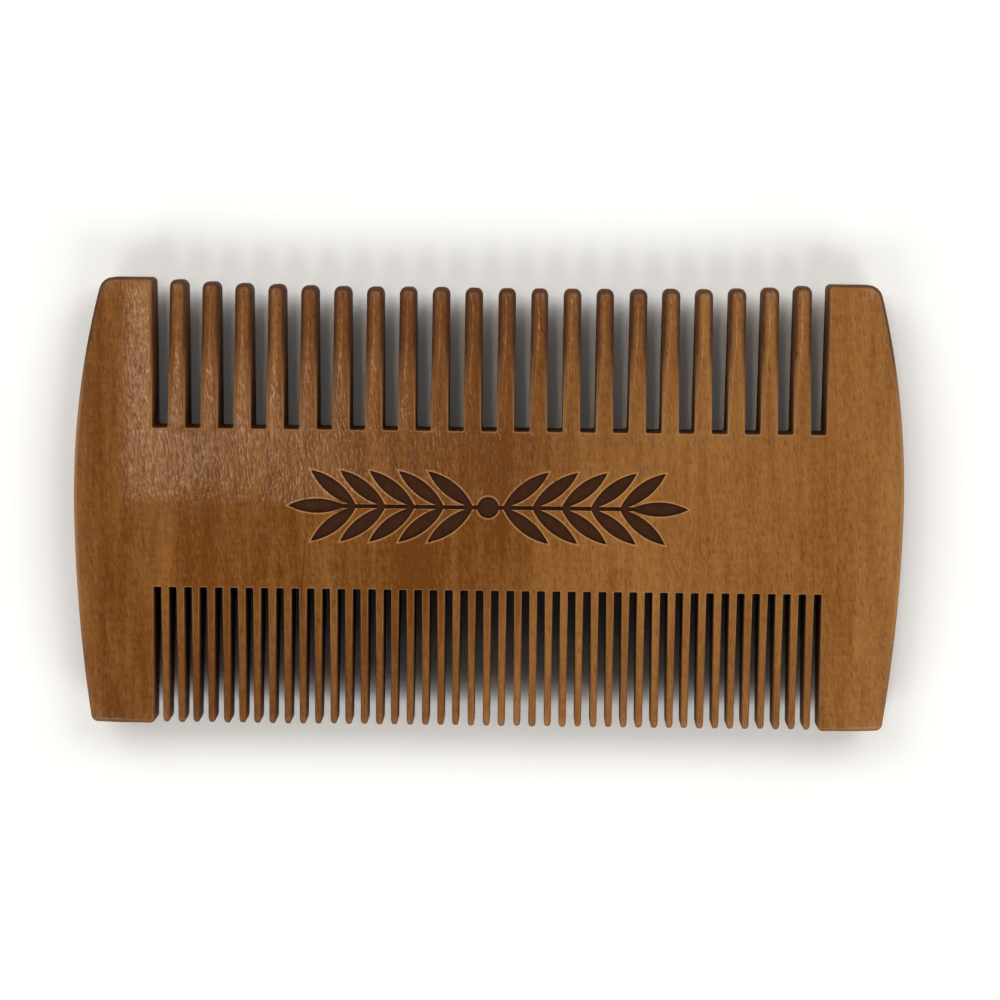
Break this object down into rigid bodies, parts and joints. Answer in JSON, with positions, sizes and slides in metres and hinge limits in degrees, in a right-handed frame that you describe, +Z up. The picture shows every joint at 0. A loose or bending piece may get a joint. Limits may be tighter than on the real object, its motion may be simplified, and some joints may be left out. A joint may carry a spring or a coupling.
{
  "type": "beard comb",
  "caption": "Double-sided wooden beard comb: coarse teeth on one long side, fine teeth on the other, a solid spine between and a curved guard at each end.",
  "frame": {"origin": "middle of the underside, on the surface that the comb rests on", "axes": "+X along the comb's length, +Y towards the coarse teeth, +Z up through the thickness, out of the engraved face"},
  "size_m": [0.1, 0.054, 0.008],
  "materials": {
    "oiled_fruitwood": "oiled satin"
  },
  "bodies": {
    "root": {"spine": "oiled_fruitwood", "end_guard_left": "oiled_fruitwood", "end_guard_right": "oiled_fruitwood", "coarse_tooth_01": "oiled_fruitwood", "coarse_tooth_02": "oiled_fruitwood", "coarse_tooth_03": "oiled_fruitwood", "coarse_tooth_04": "oiled_fruitwood", "coarse_tooth_05": "oiled_fruitwood", "coarse_tooth_06": "oiled_fruitwood", "coarse_tooth_07": "oiled_fruitwood", "coarse_tooth_08": "oiled_fruitwood", "coarse_tooth_09": "oiled_fruitwood", "coarse_tooth_10": "oiled_fruitwood", "coarse_tooth_11": "oiled_fruitwood", "coarse_tooth_12": "oiled_fruitwood", "coarse_tooth_13": "oiled_fruitwood", "coarse_tooth_14": "oiled_fruitwood", "coarse_tooth_15": "oiled_fruitwood", "coarse_tooth_16": "oiled_fruitwood", "coarse_tooth_17": "oiled_fruitwood", "coarse_tooth_18": "oiled_fruitwood", "coarse_tooth_19": "oiled_fruitwood", "coarse_tooth_20": "oiled_fruitwood", "fine_teeth_01": "oiled_fruitwood", "fine_teeth_02": "oiled_fruitwood", "fine_teeth_03": "oiled_fruitwood", "fine_teeth_04": "oiled_fruitwood", "fine_teeth_05": "oiled_fruitwood", "fine_teeth_06": "oiled_fruitwood", "fine_teeth_07": "oiled_fruitwood", "fine_teeth_08": "oiled_fruitwood", "fine_teeth_09": "oiled_fruitwood", "fine_teeth_10": "oiled_fruitwood", "fine_teeth_11": "oiled_fruitwood", "fine_teeth_12": "oiled_fruitwood", "fine_teeth_13": "oiled_fruitwood", "fine_teeth_14": "oiled_fruitwood", "fine_teeth_15": "oiled_fruitwood", "fine_teeth_16": "oiled_fruitwood", "fine_teeth_17": "oiled_fruitwood", "fine_teeth_18": "oiled_fruitwood", "fine_teeth_19": "oiled_fruitwood", "fine_teeth_20": "oiled_fruitwood", "fine_teeth_21": "oiled_fruitwood", "fine_teeth_22": "oiled_fruitwood"}
  },
  "joints": []
}
